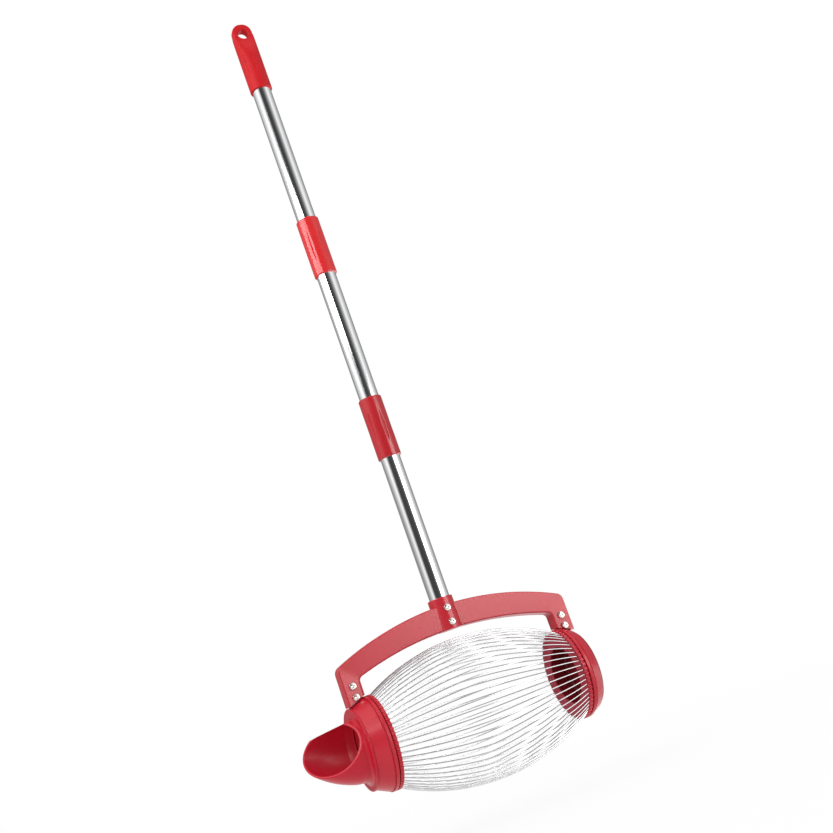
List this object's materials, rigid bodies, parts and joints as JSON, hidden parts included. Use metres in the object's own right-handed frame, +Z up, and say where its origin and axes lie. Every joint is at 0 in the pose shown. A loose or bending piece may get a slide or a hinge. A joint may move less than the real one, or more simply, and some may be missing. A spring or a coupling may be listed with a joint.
{
  "type": "nut gatherer",
  "caption": "Long-handled roller with a barrel cage of springy wires that picks up nuts from the ground and pours them out through a scoop at one end.",
  "frame": {"origin": "on the ground under the middle of the wire cage, where the cage rolls", "axes": "+Z up along the handle, +X along the cage's axis away from the spout, +Y from the front to the back"},
  "size_m": [0.3195, 0.149, 0.9035],
  "materials": {
    "red_plastic": "moulded gloss",
    "polished_tube": "polished stainless",
    "wire_steel": "bright drawn wire",
    "screw_steel": "zinc plated",
    "seal_rubber": "matt"
  },
  "bodies": {
    "top_section": {"grip": "red_plastic", "upper_tube": "polished_tube", "upper_plug": "red_plastic"},
    "upper_joint_ring": {"upper_seal": "seal_rubber"},
    "middle_section": {"upper_sleeve": "red_plastic", "mid_tube": "polished_tube", "mid_plug": "red_plastic"},
    "lower_joint_ring": {"lower_seal": "seal_rubber"},
    "frame": {"lower_sleeve": "red_plastic", "lower_tube": "polished_tube", "yoke": "red_plastic", "handle_screws": "screw_steel", "handle_nuts": "screw_steel", "lug_screws": "screw_steel", "lug_nuts": "screw_steel", "left_collar": "red_plastic", "right_collar": "red_plastic", "spout": "red_plastic", "end_cap": "red_plastic"},
    "cage": {"left_ring": "red_plastic", "right_ring": "red_plastic", "left_keeper": "red_plastic", "right_keeper": "red_plastic", "wires": "wire_steel"}
  },
  "joints": [
    {"name": "upper_unscrew", "type": "hinge", "parent": "top_section", "child": "upper_joint_ring", "pos_m": [0, 0, 0.629], "axis": [0, 0, -1], "range_deg": [0, 2160]},
    {"name": "upper_travel", "type": "slide", "parent": "upper_joint_ring", "child": "middle_section", "axis": [0, 0, -1], "range_m": [0, 0.018]},
    {"name": "lower_unscrew", "type": "hinge", "parent": "middle_section", "child": "lower_joint_ring", "pos_m": [0, 0, 0.408], "axis": [0, 0, -1], "range_deg": [0, 2160]},
    {"name": "lower_travel", "type": "slide", "parent": "lower_joint_ring", "child": "frame", "axis": [0, 0, -1], "range_m": [0, 0.018]},
    {"name": "cage_spin", "type": "hinge", "parent": "frame", "child": "cage", "pos_m": [0, 0, 0.0745], "axis": [1, 0, 0], "continuous": true}
  ],
  "couplings": [
    {"joint": "upper_travel", "follows": "upper_unscrew", "m_per_rad": 0.00047746},
    {"joint": "lower_travel", "follows": "lower_unscrew", "m_per_rad": 0.00047746}
  ]
}
